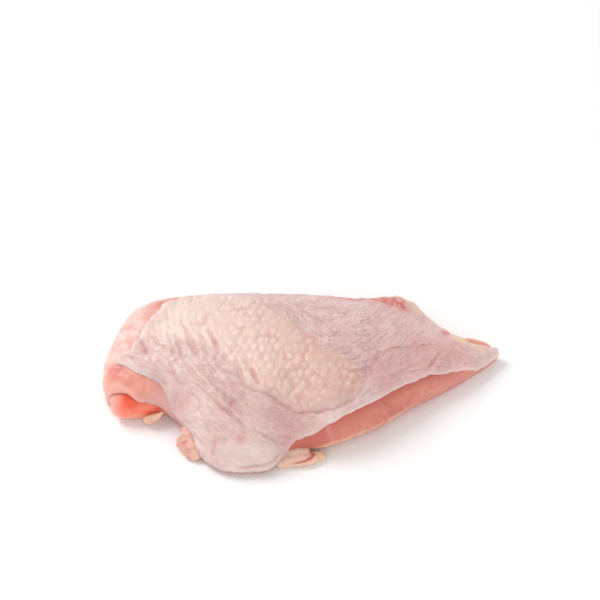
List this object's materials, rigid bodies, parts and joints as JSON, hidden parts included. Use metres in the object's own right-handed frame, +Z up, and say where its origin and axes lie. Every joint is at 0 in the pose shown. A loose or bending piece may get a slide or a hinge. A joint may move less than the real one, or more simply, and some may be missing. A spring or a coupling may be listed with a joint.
{
  "type": "skin-on chicken breast",
  "caption": "Raw boneless chicken breast lying skin side up, with its inner fillet and scraps of fat at the cut edges.",
  "frame": {"origin": "On the board, under the middle of the whole", "axes": "+X along the breast towards its narrow tail end, +Y across it towards its far long edge, +Z up out of the skin"},
  "size_m": [0.1876, 0.1006, 0.0369],
  "materials": {
    "flesh": "raw wet pink muscle",
    "fillet": "raw wet orange-pink muscle",
    "skin": "moist pebbled poultry skin, cream and pink",
    "fat": "soft creamy fat with pink tissue"
  },
  "bodies": {
    "root": {"main_muscle": "flesh", "inner_fillet": "fillet", "skin": "skin", "fat_knob": "fat", "fat_fold": "fat", "fat_shred": "fat"}
  },
  "joints": []
}
